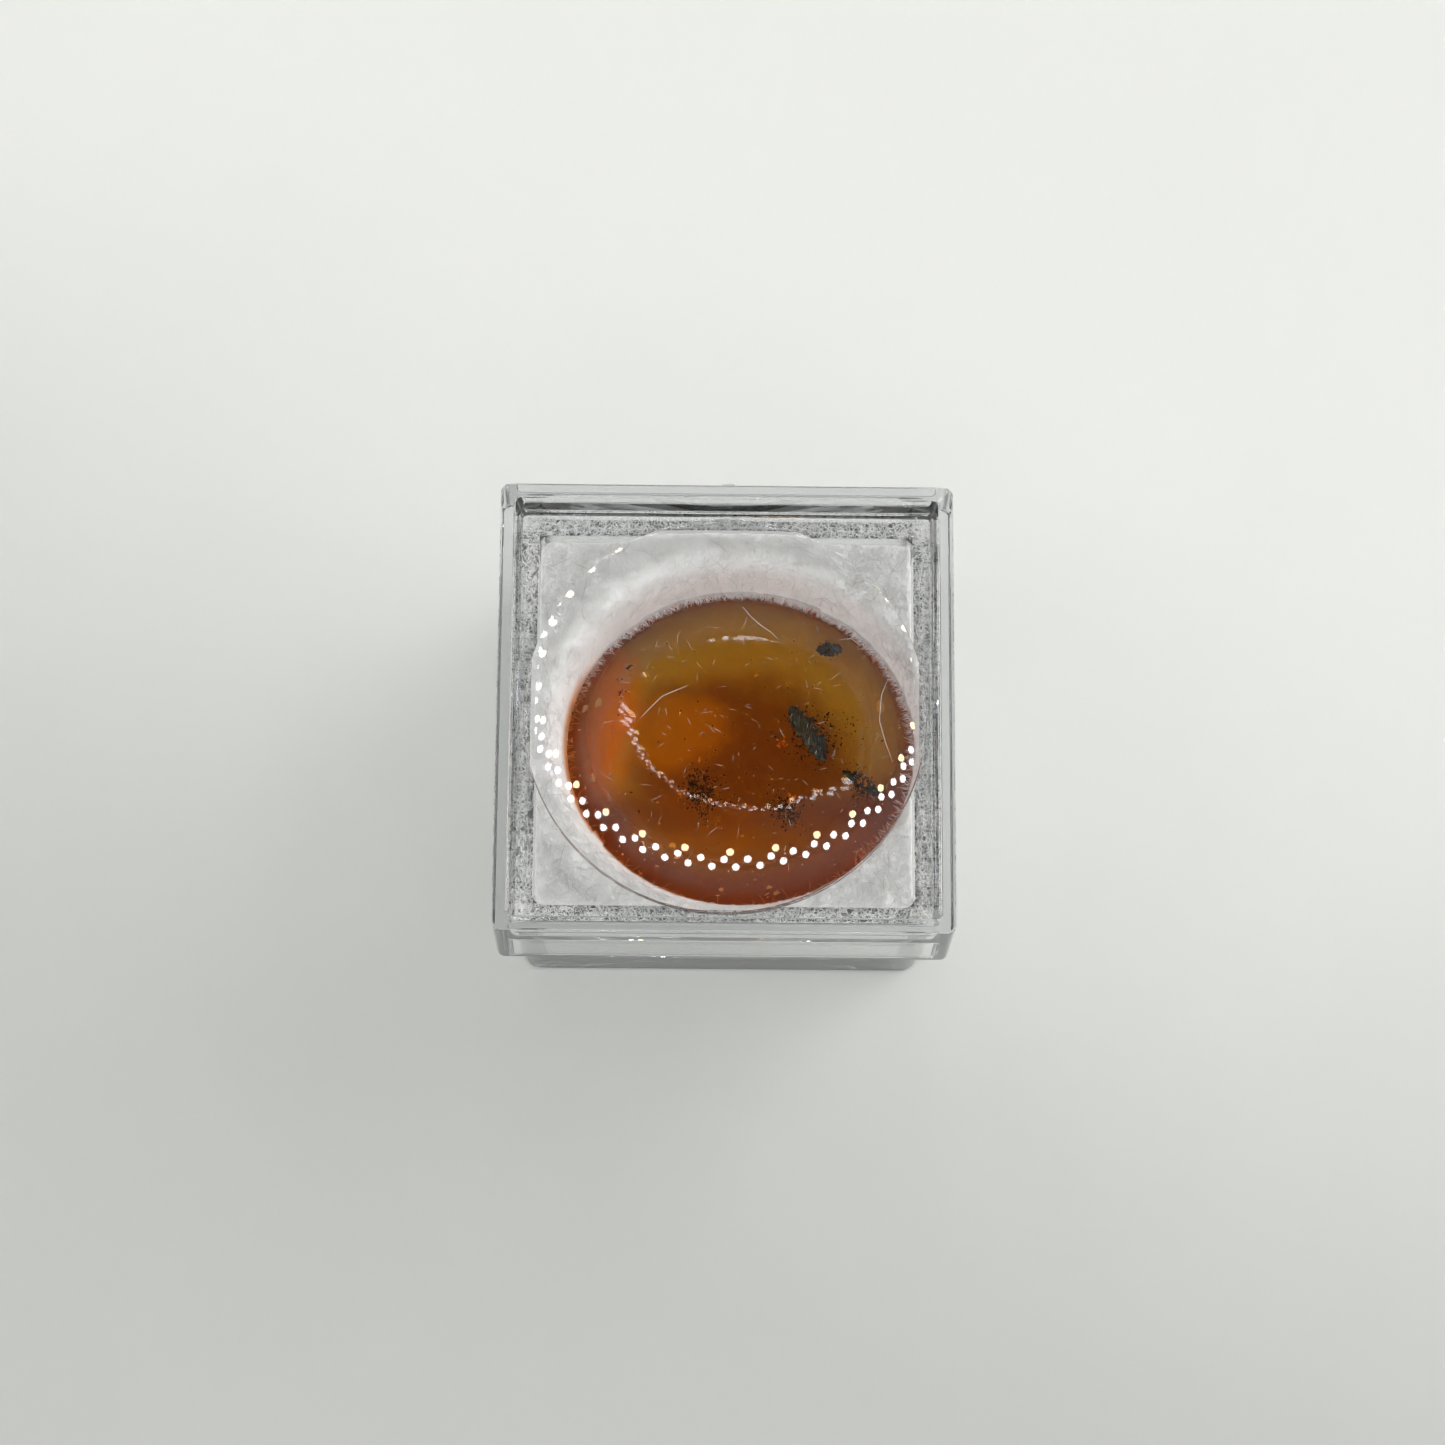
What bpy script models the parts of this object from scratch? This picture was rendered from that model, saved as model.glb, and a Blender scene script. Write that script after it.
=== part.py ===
"""A polished oval of amber in a small clear display box whose lid is a magnifying lens.

The box stands on z = 0 with its front towards -Y. The tray holds a soft white pad, the amber lies
pressed into the pad, and the lid is pushed down over the tray. All sizes are in metres.
"""

import math

import bmesh
import bpy
from mathutils import Matrix

MM = 0.001
FIT = 0.3 * MM  # clearance between pieces that touch
OVERSHOOT = 1.0 * MM  # how far a cutter runs past the face that it opens

# Lid: one clear moulding, a square cap with the lens standing on its sunk plate
HEIGHT = 24.0 * MM
LID_TOP_SIDE = 31.0 * MM
LID_MOUTH_SIDE = 31.4 * MM
LID_SKIRT = 10.2 * MM
LID_WALL = 1.0 * MM
LID_CORNER = 0.6 * MM
RIM_HEIGHT = 3.3 * MM  # rim above the sunk plate
RIM_DRAFT = 0.35 * MM  # how much the rim thickens towards the plate
PLATE = 1.1 * MM
LENS_RADIUS = 13.8 * MM
LENS_EDGE = 0.9 * MM  # upright edge of the lens above the plate
LENS_DOME = 2.2 * MM  # rise of the dome above that edge
LENS_STEPS = 72
DOME_STEPS = 8

# Tray: the clear lower half
TRAY_TOP_SIDE = 28.4 * MM
TRAY_FOOT_SIDE = 28.8 * MM
TRAY_WALL = 1.15 * MM
TRAY_FLOOR = 1.2 * MM
TRAY_CORNER = 1.2 * MM

# Pad: a soft block that fills the tray, dented where the closed lid presses the amber into it
PAD_TOP = 18.2 * MM
PAD_CORNER = 0.8 * MM
PAD_EDGE = 0.5 * MM
DENT_SLOPE = 2.2 * MM  # width of the slope from the flat top down to the amber's edge
DENT_STEPS = 8

# Amber: an oval with a thin edge, a high dome whose top is off centre, and a flatter underside
AMBER_CENTRE = (1.1 * MM, -1.0 * MM)
AMBER_RADIUS_X = 11.1 * MM
AMBER_RADIUS_Y = 10.1 * MM
AMBER_DOME = 4.5 * MM
AMBER_UNDERSIDE = 2.6 * MM
AMBER_GAP_TO_LENS = 0.35 * MM
DOME_APEX = (-1.5 * MM, -2.4 * MM)
DOME_BEND = 0.95  # 0.5 is an ellipse with an upright edge, 1 is a lens with a thin edge
UNDERSIDE_BEND = 0.7
AMBER_STEPS = 56
AMBER_RINGS = 20

# Plant flakes sealed in the amber, each a thin curled leaf scrap: centre x and y from the middle
# of the amber, half length, half width, half thickness, and turn in degrees
FLAKES = {
    "leaf_flake": (4.4 * MM, 0.7 * MM, 2.1 * MM, 0.75 * MM, 0.18 * MM, -58.0),
    "leaf_scrap": (5.5 * MM, 6.4 * MM, 0.8 * MM, 0.5 * MM, 0.15 * MM, 10.0),
}
POCKET_ROOM = 0.3 * MM
FLAKE_STEPS = 20
FLAKE_RINGS = 8

PLATE_TOP = HEIGHT - RIM_HEIGHT
PLATE_UNDER = PLATE_TOP - PLATE
LID_MOUTH = HEIGHT - LID_SKIRT
TRAY_TOP = PLATE_UNDER - FIT
GIRDLE = PLATE_UNDER - AMBER_GAP_TO_LENS - AMBER_DOME  # height of the amber's widest line


def clear_scene():
    for item in list(bpy.data.objects):
        bpy.data.objects.remove(item)
    for group in list(bpy.data.collections):
        bpy.data.collections.remove(group)


def new_collection(name):
    group = bpy.data.collections.new(name)
    bpy.context.scene.collection.children.link(group)
    return group


def finish_material(name, colour, roughness, transmission=0.0, ior=1.5):
    """A plain Principled finish for one piece."""
    material = bpy.data.materials.new(name)
    material.use_nodes = True
    shader = material.node_tree.nodes["Principled BSDF"]
    shader.inputs["Base Color"].default_value = (*colour, 1.0)
    shader.inputs["Roughness"].default_value = roughness
    shader.inputs["Metallic"].default_value = 0.0
    shader.inputs["Transmission Weight"].default_value = transmission
    shader.inputs["IOR"].default_value = ior
    return material


def add_object(name, shape, group, material=None):
    """Links a bmesh as a named object and frees the bmesh."""
    mesh = bpy.data.meshes.new(name)
    shape.to_mesh(mesh)
    shape.free()
    item = bpy.data.objects.new(name, mesh)
    group.objects.link(item)
    if material:
        mesh.materials.append(material)
    return item


def side_at(z, low, high):
    """Side of a tapered block at height z, between two (height, side) pairs."""
    share = (z - low[0]) / (high[0] - low[0])
    return low[1] + share * (high[1] - low[1])


def block(low, high, corner, edge=0.0):
    """A square block with upright edges rounded, tapering between two (height, side) pairs."""
    shape = bmesh.new()
    bmesh.ops.create_cube(shape, size=1.0)
    for vert in shape.verts:
        height, side = high if vert.co.z > 0 else low
        vert.co.x = math.copysign(side / 2, vert.co.x)
        vert.co.y = math.copysign(side / 2, vert.co.y)
        vert.co.z = height
    if corner:
        upright = [e for e in shape.edges if abs(e.verts[0].co.z - e.verts[1].co.z) > MM]
        bmesh.ops.bevel(shape, geom=upright, offset=corner, segments=5, profile=0.5,
                        affect="EDGES")
    if edge:
        top = [e for e in shape.edges if all(abs(v.co.z - high[0]) < 1e-7 for v in e.verts)]
        bmesh.ops.bevel(shape, geom=top, offset=edge, segments=3, profile=0.5, affect="EDGES")
    return shape


def lens_profile():
    """Half outline of the lens: its dome, its upright edge, and a foot sunk in the plate."""
    sphere = (LENS_RADIUS**2 + LENS_DOME**2) / (2 * LENS_DOME)
    reach = math.asin(LENS_RADIUS / sphere)
    base = PLATE_TOP + LENS_EDGE - sphere * math.cos(reach)
    angles = [reach * step / DOME_STEPS for step in range(DOME_STEPS + 1)]
    dome = [(sphere * math.sin(angle), base + sphere * math.cos(angle)) for angle in angles]
    foot = PLATE_TOP - PLATE / 2
    return dome + [(LENS_RADIUS, foot), (0.0, foot)]


def turned(name, points, steps, group):
    """A solid turned about the Z axis from (radius, height) points that run down its outer side."""
    mesh = bpy.data.meshes.new(name)
    rows = [(radius, 0.0, height) for radius, height in points]
    mesh.from_pydata(rows, [(i, i + 1) for i in range(len(rows) - 1)], [])
    item = bpy.data.objects.new(name, mesh)
    group.objects.link(item)
    screw = item.modifiers.new("turn", "SCREW")
    screw.axis = "Z"
    screw.angle = math.tau
    screw.steps = steps
    screw.render_steps = steps
    screw.use_merge_vertices = True
    screw.merge_threshold = 0.00001
    screw.use_smooth_shade = True
    return item


def pebble(radii, rises, bends, apex, steps, rings):
    """An oval pebble, given above and below its widest line, with its highest point moved sideways."""
    shape = bmesh.new()
    bmesh.ops.create_uvsphere(shape, u_segments=steps, v_segments=rings, radius=1.0)
    for vert in shape.verts:
        above = vert.co.z > 0
        rise, bend = (rises[0], bends[0]) if above else (rises[1], bends[1])
        shift = 1 - math.hypot(vert.co.x, vert.co.y) if above else 0.0
        vert.co.x = vert.co.x * radii[0] + apex[0] * shift
        vert.co.y = vert.co.y * radii[1] + apex[1] * shift
        vert.co.z = math.copysign(abs(vert.co.z) ** (2 * bend) * rise, vert.co.z)
    return shape


def boolean(item, tool, operation):
    """Adds an exact Boolean to an object and hides the shape that works on it."""
    modifier = item.modifiers.new(tool.name, "BOOLEAN")
    modifier.object = tool
    modifier.operation = operation
    modifier.solver = "EXACT"
    tool.hide_render = True
    tool.display_type = "WIRE"


def shade(item, angle):
    item.data.shade_smooth()
    item.data.set_sharp_from_angle(angle=math.radians(angle))


def make_lid(group, tools, material):
    mouth = (LID_MOUTH, LID_MOUTH_SIDE)
    top = (HEIGHT, LID_TOP_SIDE)
    lid = add_object("lid", block(mouth, top, LID_CORNER), group, material)

    inner_corner = LID_CORNER / 2
    low = (LID_MOUTH - OVERSHOOT, side_at(LID_MOUTH - OVERSHOOT, mouth, top) - 2 * LID_WALL)
    high = (PLATE_UNDER, side_at(PLATE_UNDER, mouth, top) - 2 * LID_WALL)
    boolean(lid, add_object("lid_inside", block(low, high, inner_corner), tools), "DIFFERENCE")

    rim_side = LID_TOP_SIDE - 2 * LID_WALL
    low = (PLATE_TOP, rim_side - 2 * RIM_DRAFT)
    high = (HEIGHT + OVERSHOOT, rim_side + 2 * RIM_DRAFT * OVERSHOOT / RIM_HEIGHT)
    boolean(lid, add_object("rim_inside", block(low, high, inner_corner), tools), "DIFFERENCE")

    boolean(lid, turned("lens", lens_profile(), LENS_STEPS, tools), "UNION")
    shade(lid, 20)


def make_tray(group, tools, material):
    foot = (0.0, TRAY_FOOT_SIDE)
    top = (TRAY_TOP, TRAY_TOP_SIDE)
    tray = add_object("tray", block(foot, top, TRAY_CORNER), group, material)
    low = (TRAY_FLOOR, TRAY_TOP_SIDE - 2 * TRAY_WALL)
    high = (TRAY_TOP + OVERSHOOT, TRAY_TOP_SIDE - 2 * TRAY_WALL)
    boolean(tray, add_object("tray_inside", block(low, high, PAD_CORNER), tools), "DIFFERENCE")
    shade(tray, 30)


def amber_shape(grow=0.0):
    radii = (AMBER_RADIUS_X + grow, AMBER_RADIUS_Y + grow)
    rises = (AMBER_DOME + grow, AMBER_UNDERSIDE + grow)
    return pebble(radii, rises, (DOME_BEND, UNDERSIDE_BEND), DOME_APEX, AMBER_STEPS, AMBER_RINGS)


def amber_place():
    return Matrix.Translation((*AMBER_CENTRE, GIRDLE))


def dent_profile():
    """Half outline of the dent: a slope from the pad's top that steepens down to the amber's edge."""
    outer = AMBER_RADIUS_X + DENT_SLOPE
    points = [(0.0, PAD_TOP + OVERSHOOT), (outer, PAD_TOP + OVERSHOOT)]
    for step in range(DENT_STEPS + 1):
        share = step / DENT_STEPS
        fall = 1 - math.sin(math.pi / 2 * (1 - share))
        points.append((outer - DENT_SLOPE * share, PAD_TOP - fall * (PAD_TOP - GIRDLE)))
    return points + [(0.0, GIRDLE)]


def make_pad(group, tools, material):
    side = TRAY_TOP_SIDE - 2 * TRAY_WALL - 2 * FIT
    foot = TRAY_FLOOR + FIT
    pad = add_object("pad", block((foot, side), (PAD_TOP, side), PAD_CORNER, PAD_EDGE), group,
                     material)
    dent = turned("pad_dent", dent_profile(), AMBER_STEPS, tools)
    dent.location = (*AMBER_CENTRE, 0.0)
    dent.scale.y = AMBER_RADIUS_Y / AMBER_RADIUS_X
    boolean(pad, dent, "DIFFERENCE")
    nest = amber_shape(FIT)
    nest.transform(amber_place())
    boolean(pad, add_object("pad_nest", nest, tools), "DIFFERENCE")
    shade(pad, 40)


def flake_place(values):
    x, y, turn = values[0], values[1], values[5]
    middle = Matrix.Translation((AMBER_CENTRE[0] + x, AMBER_CENTRE[1] + y, GIRDLE))
    return middle @ Matrix.Rotation(math.radians(turn), 4, "Z")


def flake_shape(values, grow=0.0):
    """A thin lens-shaped scrap, with a little room around it when it is used to cut a pocket."""
    length, width, thick = (size + grow for size in values[2:5])
    return pebble((length, width), (thick, thick), (0.5, 0.5), (0, 0), FLAKE_STEPS, FLAKE_RINGS)


def make_amber(group, tools, material, flake_material):
    """Two halves that meet on the girdle, around a pocket for each flake."""
    pockets = []
    for name, values in FLAKES.items():
        flake = flake_shape(values)
        flake.transform(flake_place(values))
        shade(add_object(name, flake, group, flake_material), 60)
        room = flake_shape(values, POCKET_ROOM)
        room.transform(flake_place(values))
        pockets.append(add_object(name + "_pocket", room, tools))

    wide = 3 * AMBER_RADIUS_X
    halves = {
        "amber_upper": (GIRDLE - wide / 2, GIRDLE + FIT / 2),
        "amber_lower": (GIRDLE - FIT / 2, GIRDLE + wide / 2),
    }
    for name, (low, high) in halves.items():
        stone = amber_shape()
        stone.transform(amber_place())
        half = add_object(name, stone, group, material)
        parting = add_object(name + "_parting", block((low, wide), (high, wide), 0.0), tools)
        boolean(half, parting, "DIFFERENCE")
        for pocket in pockets:
            boolean(half, pocket, "DIFFERENCE")
        shade(half, 30)


def main():
    clear_scene()
    specimen = new_collection("amber_specimen")
    tools = new_collection("cutters")
    clear = finish_material("clear_polystyrene", (0.93, 0.95, 0.97), 0.04, 1.0, 1.59)
    flock = finish_material("white_flock", (0.82, 0.83, 0.83), 0.95)
    amber = finish_material("amber", (0.62, 0.24, 0.04), 0.05, 0.9, 1.54)
    plant = finish_material("dark_plant_matter", (0.03, 0.03, 0.035), 0.7)
    make_tray(specimen, tools, clear)
    make_pad(specimen, tools, flock)
    make_amber(specimen, tools, amber, plant)
    make_lid(specimen, tools, clear)


main()
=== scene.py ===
# %% [markdown]
# A polished piece of amber lies in a small clear box. The box stays shut, its lid is a magnifying lens,
# and a soft white pad holds the stone against it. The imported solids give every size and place, and this
# script gives them their finish: smooth clear plastic, fuzzy flock, see-through resin and what is sealed
# in it. First come the frame and the box that the solids fill, which the finished model must stay in.

# %% Load the frame
import math
import random

import bmesh
import bpy
from mathutils import Matrix, Vector, noise


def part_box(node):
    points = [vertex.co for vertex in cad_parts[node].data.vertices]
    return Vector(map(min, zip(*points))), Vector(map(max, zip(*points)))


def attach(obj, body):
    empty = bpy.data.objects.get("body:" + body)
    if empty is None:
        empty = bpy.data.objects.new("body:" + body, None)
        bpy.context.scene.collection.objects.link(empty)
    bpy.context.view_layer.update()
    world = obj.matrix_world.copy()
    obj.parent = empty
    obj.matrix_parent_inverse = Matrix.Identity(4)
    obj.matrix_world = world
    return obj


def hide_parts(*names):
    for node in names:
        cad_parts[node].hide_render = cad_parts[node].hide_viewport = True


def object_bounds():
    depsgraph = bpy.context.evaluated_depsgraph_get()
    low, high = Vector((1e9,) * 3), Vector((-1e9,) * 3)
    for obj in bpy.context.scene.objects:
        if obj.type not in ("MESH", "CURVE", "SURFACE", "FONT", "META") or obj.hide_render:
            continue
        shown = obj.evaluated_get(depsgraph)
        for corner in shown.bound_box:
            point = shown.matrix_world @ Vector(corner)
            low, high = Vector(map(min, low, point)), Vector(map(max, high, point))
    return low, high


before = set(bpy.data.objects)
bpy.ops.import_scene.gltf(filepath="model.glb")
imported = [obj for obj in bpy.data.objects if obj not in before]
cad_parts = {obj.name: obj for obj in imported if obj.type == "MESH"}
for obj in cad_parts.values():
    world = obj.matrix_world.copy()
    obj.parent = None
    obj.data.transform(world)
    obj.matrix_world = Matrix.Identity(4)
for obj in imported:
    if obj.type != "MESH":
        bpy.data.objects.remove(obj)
solid_low, solid_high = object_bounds()
MM = 0.001
print("solids", [round(size / MM, 2) for size in solid_high - solid_low], "mm")

# %% [markdown]
# The stone is measured from its two halves. The gap where they part takes a little off its widest line,
# and a factor gives that back.

# %% Measure the pieces
lid_low, lid_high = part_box("lid")
tray_low, tray_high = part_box("tray")
pad_low, pad_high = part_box("pad")
upper_low, upper_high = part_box("amber_upper")
lower_low, lower_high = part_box("amber_lower")

PARTING_LOSS = 1.009
STONE_X = (lower_low.x + lower_high.x) / 2
STONE_Y = (lower_low.y + lower_high.y) / 2
STONE_RADIUS_X = PARTING_LOSS * (lower_high.x - lower_low.x) / 2
STONE_RADIUS_Y = PARTING_LOSS * (lower_high.y - lower_low.y) / 2
GIRDLE = (upper_low.z + lower_high.z) / 2
STONE_DOME = upper_high.z - GIRDLE
STONE_UNDERSIDE = GIRDLE - lower_low.z
stone_sizes = (GIRDLE, STONE_RADIUS_X, STONE_RADIUS_Y, STONE_DOME, STONE_UNDERSIDE)
print("stone", [round(size / MM, 2) for size in stone_sizes])

# %% [markdown]
# The picture looks steeply down on the box from its front, through the lens. The camera's place was found by
# matching the lid's four corners. Its long lens keeps the box's sides nearly parallel, and the slant still
# shows the skirt at the front.

# %% Place the camera
CAMERA_ELEVATION = math.radians(77.16)
CAMERA_TURN = math.radians(-2.06)
CAMERA_ROLL = math.radians(2.55)
CAMERA_DISTANCE = 222.8 * MM
CAMERA_LENS = 82.2
AIM = Vector((-0.2 * MM, -1.21 * MM, solid_high.z))

camera = bpy.data.objects.new("camera", bpy.data.cameras.new("camera"))
camera.data.lens = CAMERA_LENS
camera.data.sensor_width = 36.0
camera.data.clip_start = 5 * MM
towards_camera = Vector((
    math.cos(CAMERA_ELEVATION) * math.sin(CAMERA_TURN),
    -math.cos(CAMERA_ELEVATION) * math.cos(CAMERA_TURN),
    math.sin(CAMERA_ELEVATION),
))
camera.location = AIM + towards_camera * CAMERA_DISTANCE
turn = (-towards_camera).to_track_quat("-Z", "Y").to_matrix() @ Matrix.Rotation(CAMERA_ROLL, 3, "Z")
camera.rotation_euler = turn.to_euler()
bpy.context.scene.collection.objects.link(camera)
bpy.context.scene.camera = camera
print("camera", round(CAMERA_DISTANCE / MM), "mm from the lid")

# %% [markdown]
# Materials are sums and masks, so they read best as Python expressions. This class wraps a node's output
# and lets the operators add the Math nodes. Every other node comes from its one method, `add`, which takes
# the node's type, then its settings, then the values or links of its sockets.

# %% A socket that can be added and multiplied
class Wire:
    """An output socket of a node tree, on which Python's operators add Math nodes."""

    def __init__(self, tree, socket=None):
        self.tree = tree
        self.socket = socket

    def add(self, kind, settings=(), sockets=(), output=0):
        """Adds a node and returns one of its outputs."""
        node = self.tree.nodes.new(kind)
        for name, value in dict(settings).items():
            setattr(node, name, value)
        for name, value in dict(sockets).items():
            if isinstance(value, Wire):
                self.tree.links.new(value.socket, node.inputs[name])
            else:
                node.inputs[name].default_value = value
        return Wire(self.tree, node.outputs[output])

    def math(self, operation, *values):
        return self.add("ShaderNodeMath", {"operation": operation}, dict(enumerate(values)))

    def __add__(self, other):
        return self.math("ADD", self, other)

    def __radd__(self, other):
        return self.math("ADD", other, self)

    def __sub__(self, other):
        return self.math("SUBTRACT", self, other)

    def __rsub__(self, other):
        return self.math("SUBTRACT", other, self)

    def __mul__(self, other):
        return self.math("MULTIPLY", self, other)

    def __rmul__(self, other):
        return self.math("MULTIPLY", other, self)

    def __truediv__(self, other):
        return self.math("DIVIDE", self, other)

    def __rtruediv__(self, other):
        return self.math("DIVIDE", other, self)

    def __pow__(self, other):
        return self.math("POWER", self, other)

    def step(self, low, high):
        """0 below low, 1 above high, and a soft rise between them."""
        settings = {"interpolation_type": "SMOOTHSTEP"}
        return self.add("ShaderNodeMapRange", settings, {"Value": self, "From Min": low, "From Max": high})

    def mix(self, first, second):
        """First colour where this mask is 0, second where it is 1."""
        sockets = {0: self, 6: first, 7: second}
        return self.add("ShaderNodeMix", {"data_type": "RGBA"}, sockets, output=2)


print("operators ready")

# %% [markdown]
# Each finish is one Principled shader. Its constants go straight on its sockets, and only what changes over
# a surface is linked: colour, roughness and the bump that tilts the normal. Masks are drawn in millimetres,
# so the numbers in them can be read as sizes on the real object.

# %% A new material
def new_finish(name, constants):
    """A material with a Principled shader, its constant sockets set. Returns it and a Wire on its tree."""
    material = bpy.data.materials.new(name)
    material.use_nodes = True
    shader = material.node_tree.nodes["Principled BSDF"]
    for socket, value in constants.items():
        shader.inputs[socket].default_value = value
    return material, Wire(material.node_tree)


def feed(material, **sockets):
    """Links wires to the Principled shader's sockets, such as Base_Color=wire."""
    shader = material.node_tree.nodes["Principled BSDF"]
    for name, wire in sockets.items():
        material.node_tree.links.new(wire.socket, shader.inputs[name.replace("_", " ")])


def absorb(material, colour, density):
    """Fills a clear material with something that swallows light along its path."""
    tree = material.node_tree
    soak = Wire(tree).add("ShaderNodeVolumeAbsorption", {}, {"Color": (*colour, 1.0), "Density": density})
    tree.links.new(soak.socket, tree.nodes["Material Output"].inputs["Volume"])


def where(wires):
    """The place on a piece, in millimetres."""
    place = wires.add("ShaderNodeTexCoord", output=3)
    return wires.add("ShaderNodeVectorMath", {"operation": "SCALE"}, {0: place, 3: 1 / MM})


def split(wires, vector):
    """The three parts of a vector as wires."""
    outputs = wires.add("ShaderNodeSeparateXYZ", {}, {0: vector}).socket.node.outputs
    return [Wire(wires.tree, output) for output in outputs]


def cloud(wires, place, size, detail=4.0, rough=0.6):
    """Soft noise from 0 to 1 whose lumps are about this many millimetres wide."""
    sockets = {"Vector": place, "Scale": 1 / size, "Detail": detail, "Roughness": rough}
    return wires.add("ShaderNodeTexNoise", {}, sockets)


def stretched(wires, place, scale, turn_z=0.0):
    """The place with its axes scaled and turned, for grain and scratches that run one way."""
    sockets = {"Vector": place, "Scale": scale, "Rotation": (0.0, 0.0, math.radians(turn_z))}
    return wires.add("ShaderNodeMapping", {}, sockets)


def bump(wires, height, depth, strength=1.0):
    """A Bump node: height is a wire from 0 to 1, depth its real depth in metres."""
    return wires.add("ShaderNodeBump", {}, {"Height": height, "Distance": depth, "Strength": strength})


print("material helpers ready")

# %% [markdown]
# Clear polystyrene is almost colourless, with a high refractive index that makes its edges bright and dark.
# It is light that goes through it and not paint that shows it, so the finish is plain transmission with a
# faint cool absorption. Handling leaves fine scratches, which only change roughness and bump a little.

# %% Clear plastic
def clear_plastic():
    """Polished plastic with faint scratches, smears and waves."""
    material, wires = new_finish("clear_plastic", {
        "Base Color": (1.0, 1.0, 1.0, 1.0), "Transmission Weight": 1.0, "IOR": 1.59})
    place = where(wires)
    across = cloud(wires, stretched(wires, place, (9.0, 0.35, 1.0), 31), 1.0, 2.0)
    along = cloud(wires, stretched(wires, place, (0.3, 8.0, 1.0), -17), 1.0, 2.0)
    scratches = across.step(0.70, 0.78) + along.step(0.70, 0.78)
    smears = cloud(wires, place, 6.0).step(0.5, 0.75)
    feed(material, Roughness=0.004 + 0.05 * scratches + 0.012 * smears)
    feed(material, Normal=bump(wires, scratches + 4.0 * cloud(wires, place, 9.0, 1.0), 0.002 * MM))
    absorb(material, (0.30, 0.34, 0.38), 24.0)
    return material


PLASTIC = clear_plastic()
print("finish:", PLASTIC.name)

# %% [markdown]
# The box is moulded, so each half is one skin of rounded squares: the same outline at changing size, corner
# and height. A circle is a rounded square whose corners meet, so the round lens belongs to the same skin.
# Lofting rings gives clean walls and lets the lens be as fine as its magnified view needs.

# %% Rounded squares and the skin between them
QUARTER_STEPS = 48
MIDDLE_RING = 2 * MM


def ring(half, corner, height):
    """A rounded square, or a circle when corner equals half, as points that run once round."""
    points = []
    sides = Vector((1, 0)), Vector((0, 1)), Vector((-1, 0)), Vector((0, -1))
    for quarter in range(4):
        centre = (half - corner) * (sides[quarter] + sides[(quarter + 1) % 4])
        for step in range(QUARTER_STEPS):
            angle = math.pi / 2 * (quarter + (step + 0.5) / QUARTER_STEPS)
            x = centre.x + corner * math.cos(angle)
            y = centre.y + corner * math.sin(angle)
            points.append((x, y, height))
    return points


def softened(section, radius, steps=3):
    """A section's (half, corner, height) points with each bend rounded."""
    points = [Vector(point) for point in section]
    soft = [points[0]]
    for before, bend, after in zip(points, points[1:], points[2:]):
        start = bend + (before - bend).normalized() * min(radius, (before - bend).length / 2)
        end = bend + (after - bend).normalized() * min(radius, (after - bend).length / 2)
        for step in range(steps + 1):
            share = step / steps
            soft.append(start.lerp(bend, share).lerp(bend.lerp(end, share), share))
    return soft + [points[-1]]


def new_piece(name, shape, material, sharp=None):
    """Links a bmesh as a piece that rides on the box, with its finish."""
    mesh = bpy.data.meshes.new(name)
    shape.to_mesh(mesh)
    shape.free()
    mesh.materials.append(material)
    mesh.shade_smooth()
    if sharp:
        mesh.set_sharp_from_angle(angle=math.radians(sharp))
    piece = bpy.data.objects.new(name, mesh)
    bpy.context.scene.collection.objects.link(piece)
    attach(piece, "root")
    print(name, len(mesh.polygons), "faces")
    return piece


def lofted(section):
    """A closed skin through a ring for each point of a section, capped at both ends."""
    shape = bmesh.new()
    rows = [[shape.verts.new(point) for point in ring(*values)] for values in section]
    count = len(rows[0])
    for row, after in zip(rows, rows[1:]):
        for i in range(count):
            j = (i + 1) % count
            shape.faces.new((row[i], row[j], after[j], after[i]))
    shape.faces.new(rows[0])
    shape.faces.new(rows[-1])
    bmesh.ops.recalc_face_normals(shape, faces=shape.faces)
    return shape


print("rings of", 4 * QUARTER_STEPS, "points")

# %% [markdown]
# Fibres, hairs and crumbs have no solids: they are too fine for them. The finished model can hold only
# meshes, so a fibre is a tube with three sides, a crumb is a ball of 20 faces, squashed and turned, and
# thousands of either are one piece. All random numbers come from one seeded source, so every run is alike.

# %% Strands and grains
SKEW = Vector((0.31, 0.17, 0.93))
TAPER = 0.6
dice = random.Random(11)


def strand_mesh(name, lines, width, material):
    """One mesh of thin three-sided tubes along lines of points."""
    shape = bmesh.new()
    for line in lines:
        rows = []
        for i, point in enumerate(line):
            ahead = line[min(i + 1, len(line) - 1)] - line[max(i - 1, 0)]
            side = ahead.cross(SKEW).normalized()
            other = ahead.cross(side).normalized()
            girth = width / 2 * (1.0 - TAPER * abs(2 * i / (len(line) - 1) - 1) ** 3)
            corners = [math.tau * k / 3 for k in range(3)]
            rows.append([shape.verts.new(point + girth * (math.cos(a) * side + math.sin(a) * other))
                         for a in corners])
        for row, after in zip(rows, rows[1:]):
            for k in range(3):
                j = (k + 1) % 3
                shape.faces.new((row[k], row[j], after[j], after[k]))
        shape.faces.new(rows[0])
        shape.faces.new(rows[-1])
    bmesh.ops.recalc_face_normals(shape, faces=shape.faces)
    return new_piece(name, shape, material)


def grain_mesh(name, grains, material):
    """One mesh of small ragged grains, from (place, size) pairs."""
    shape = bmesh.new()
    for place, size in grains:
        angle = dice.uniform(0, math.tau)
        turn = Matrix.Rotation(angle, 4, Vector([dice.uniform(-1, 1) for _ in range(3)]))
        girth = Matrix.Diagonal([dice.uniform(0.4, 1.0) for _ in range(3)] + [1.0])
        at = Matrix.Translation(place) @ turn @ girth
        bmesh.ops.create_icosphere(shape, subdivisions=1, radius=size / 2, matrix=at)
    return new_piece(name, shape, material)


print("strands and grains ready")

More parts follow.
